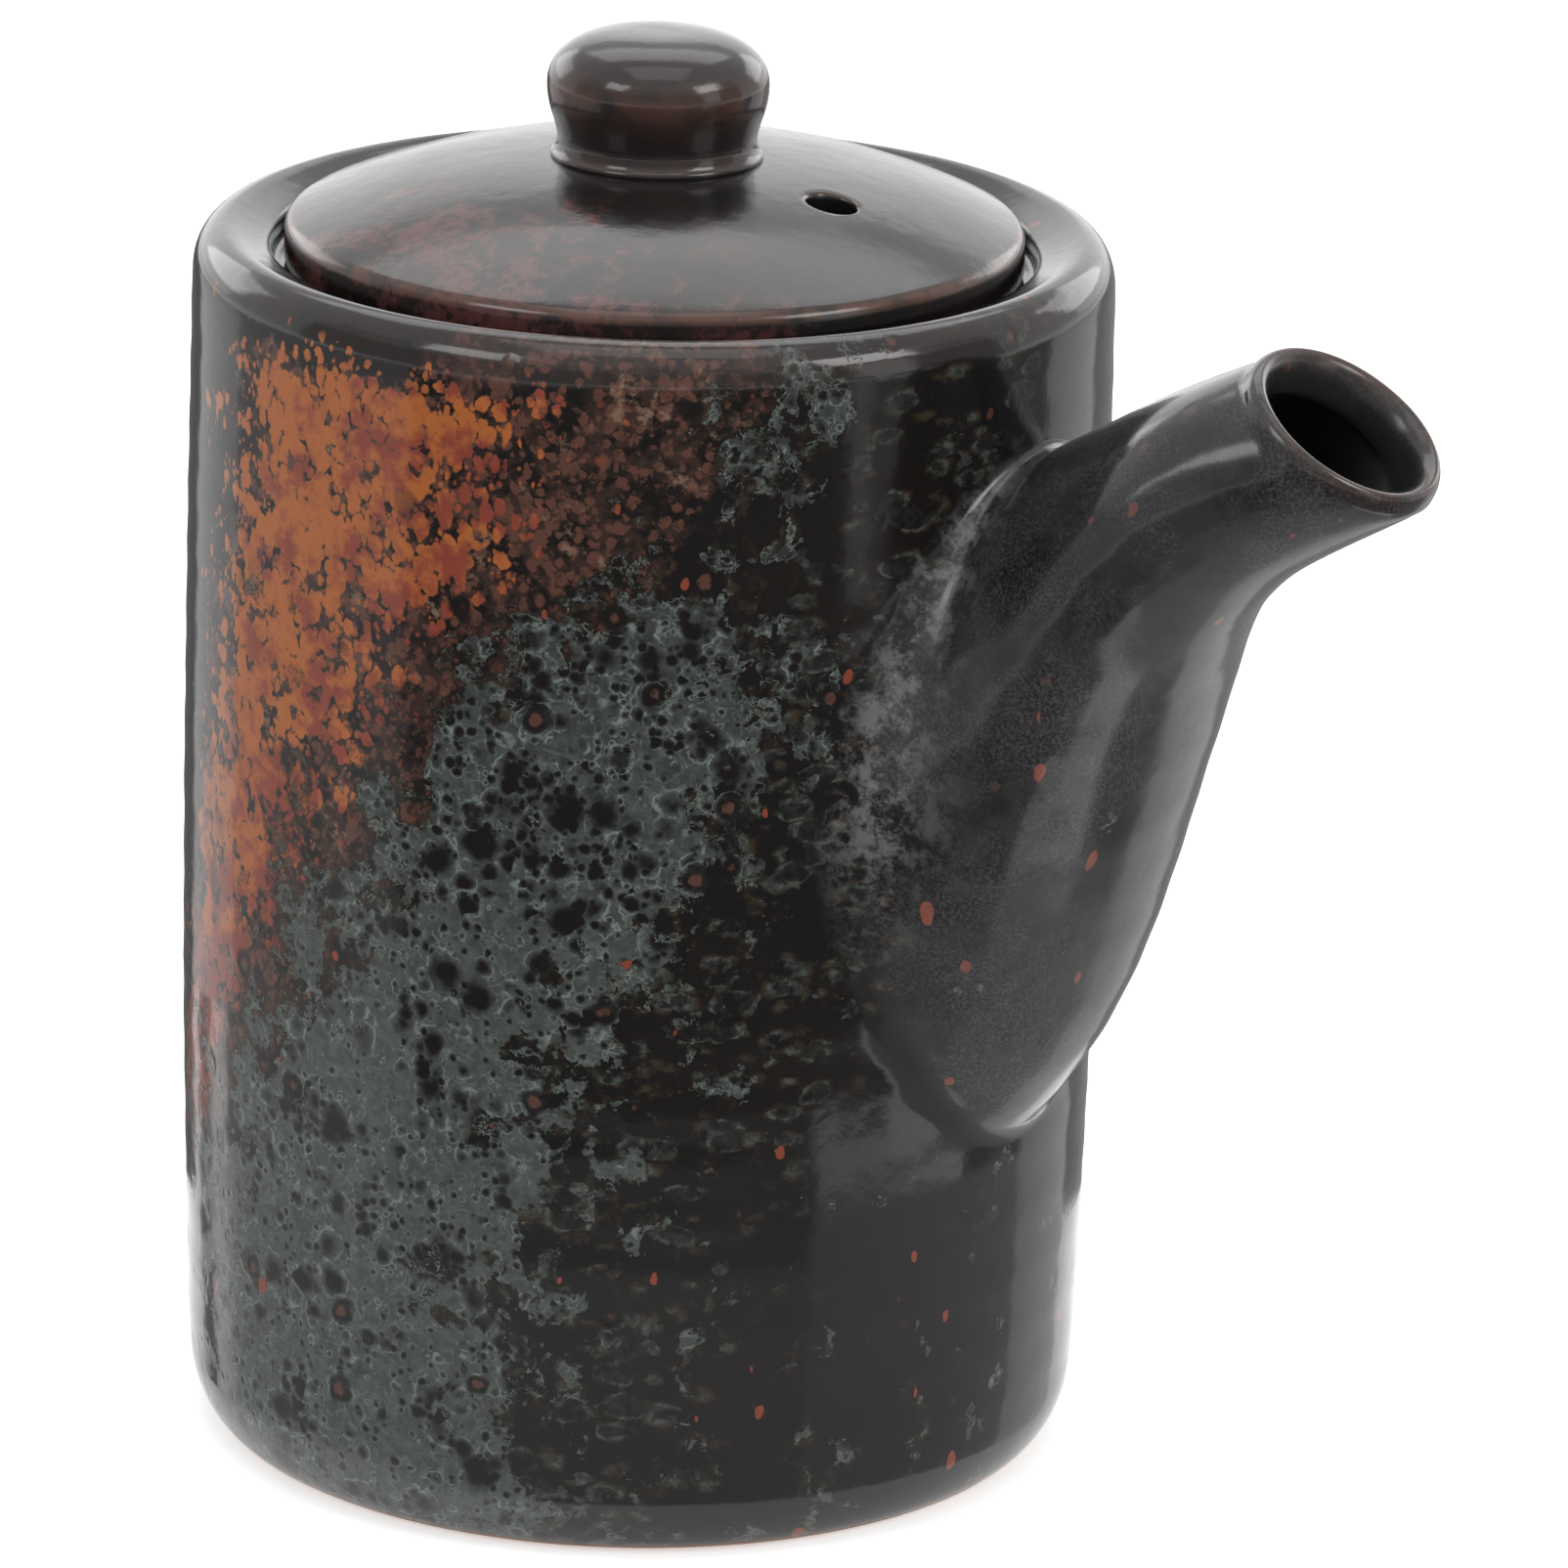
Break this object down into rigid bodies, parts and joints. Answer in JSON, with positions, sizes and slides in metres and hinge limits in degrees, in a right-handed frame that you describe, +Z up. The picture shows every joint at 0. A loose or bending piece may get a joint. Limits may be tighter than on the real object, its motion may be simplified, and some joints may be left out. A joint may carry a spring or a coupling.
{
  "type": "lidded sake pouring pot",
  "caption": "Cylindrical lidded stoneware pot with a long side spout and a knobbed, vented lid, for warming and pouring sake.",
  "frame": {"origin": "centre of the flat base, on the axis of the pot, at the level that it stands on", "axes": "+Z up along the pot's axis, +X from that axis towards the spout, +Y to the left of the spout"},
  "size_m": [0.1186, 0.081, 0.1265],
  "materials": {
    "pot_glaze": "glossy dark glaze with rust and blue-grey mottling",
    "spout_glaze": "glossy black glaze with rust specks",
    "lid_glaze": "glossy dark grey-brown glaze",
    "knob_glaze": "glossy dark brown glaze"
  },
  "bodies": {
    "pot": {"pot_body": "pot_glaze", "spout": "spout_glaze"},
    "lid": {"lid": "lid_glaze", "lid_knob": "knob_glaze"}
  },
  "joints": [
    {"name": "lid_lift", "type": "slide", "parent": "pot", "child": "lid", "axis": [0, 0, 1], "range_m": [0, 0.06]}
  ]
}
